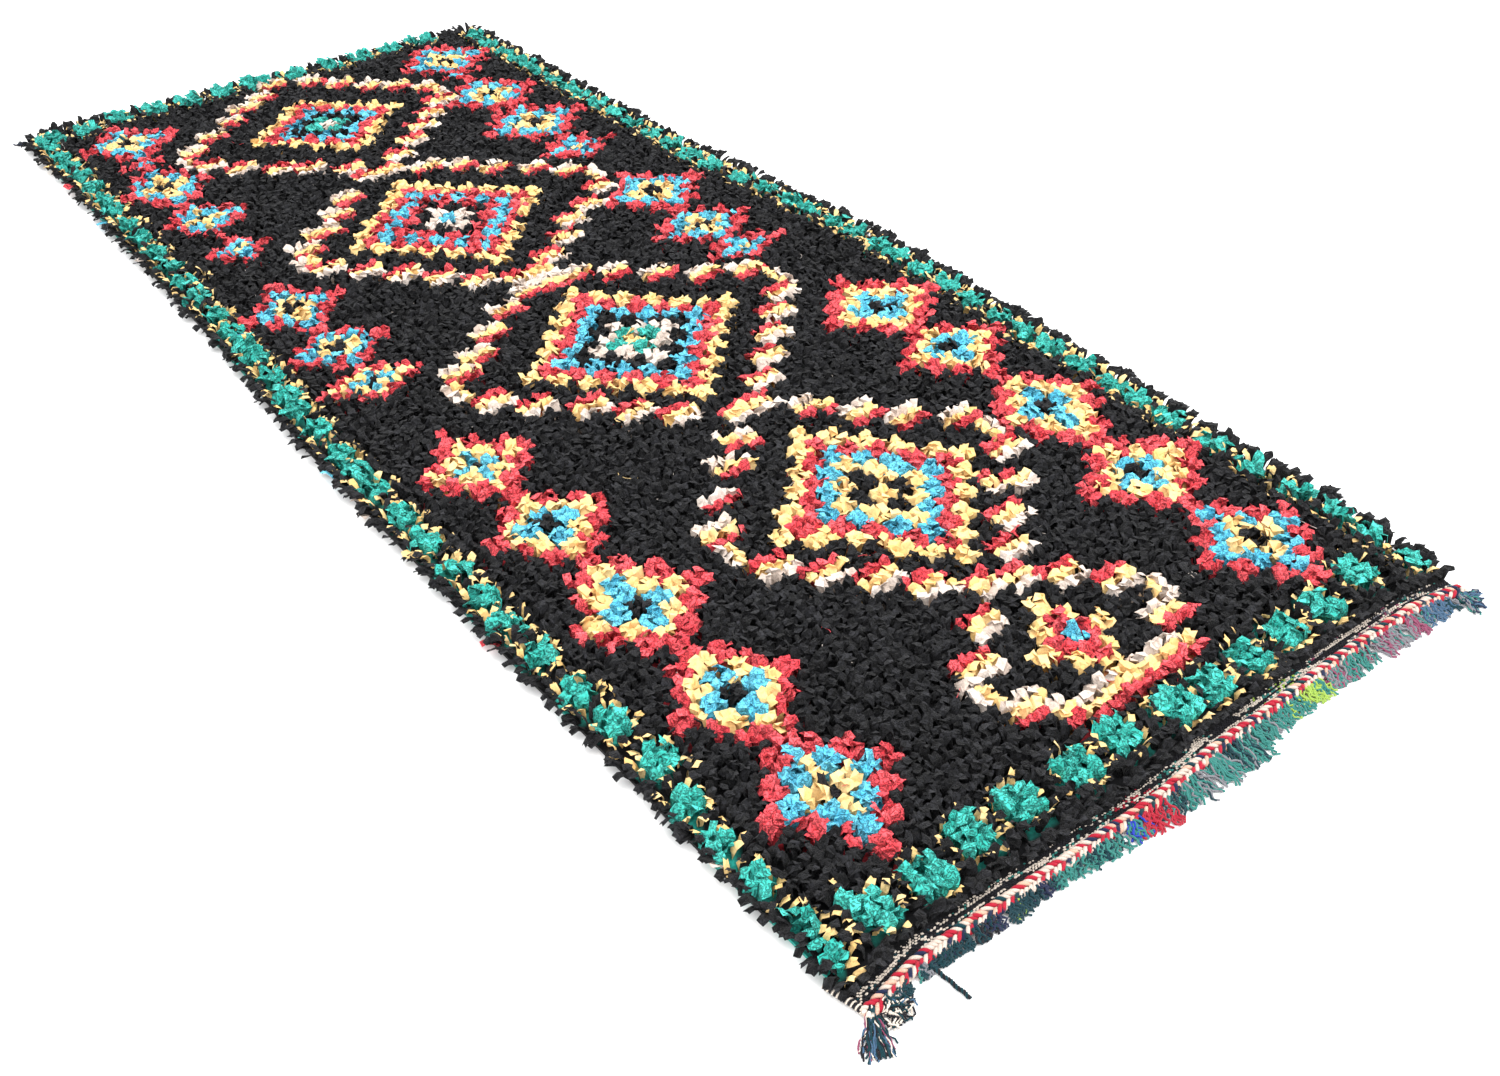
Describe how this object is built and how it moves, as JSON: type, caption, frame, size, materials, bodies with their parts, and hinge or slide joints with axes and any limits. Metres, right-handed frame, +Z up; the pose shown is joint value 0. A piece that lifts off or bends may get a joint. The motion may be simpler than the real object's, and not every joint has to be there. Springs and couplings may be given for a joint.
{
  "type": "boucherouite rug",
  "caption": "Long flat rug of knotted rag strips that lies on a floor, with a flatwoven web, a twined edging and a short fringe at one end and tassels at its corners.",
  "frame": {"origin": "on the floor, in the middle of the pile field's underside", "axes": "+Y along the rug, from its fringed near end to its far end; +X across it, to the right when seen from the near end; +Z up, out of the pile"},
  "size_m": [1.2189, 2.9241, 0.0266],
  "materials": {
    "rag_pile": "matte knotted strips of black jersey, with lozenges in red, yellow, blue, green and cream",
    "twined_cord": "matte twined wool in cream, red and navy",
    "mixed_yarn": "matte curly yarn in teal, lime, mauve and red",
    "dark_yarn": "matte yarn in dark teal, navy, cream and black"
  },
  "bodies": {
    "root": {"pile_cloth": "rag_pile", "twined_edging": "twined_cord", "fringe": "mixed_yarn", "tassel_left": "dark_yarn", "tassel_right": "dark_yarn", "far_tail_left": "dark_yarn", "far_tail_right": "dark_yarn"}
  },
  "joints": []
}
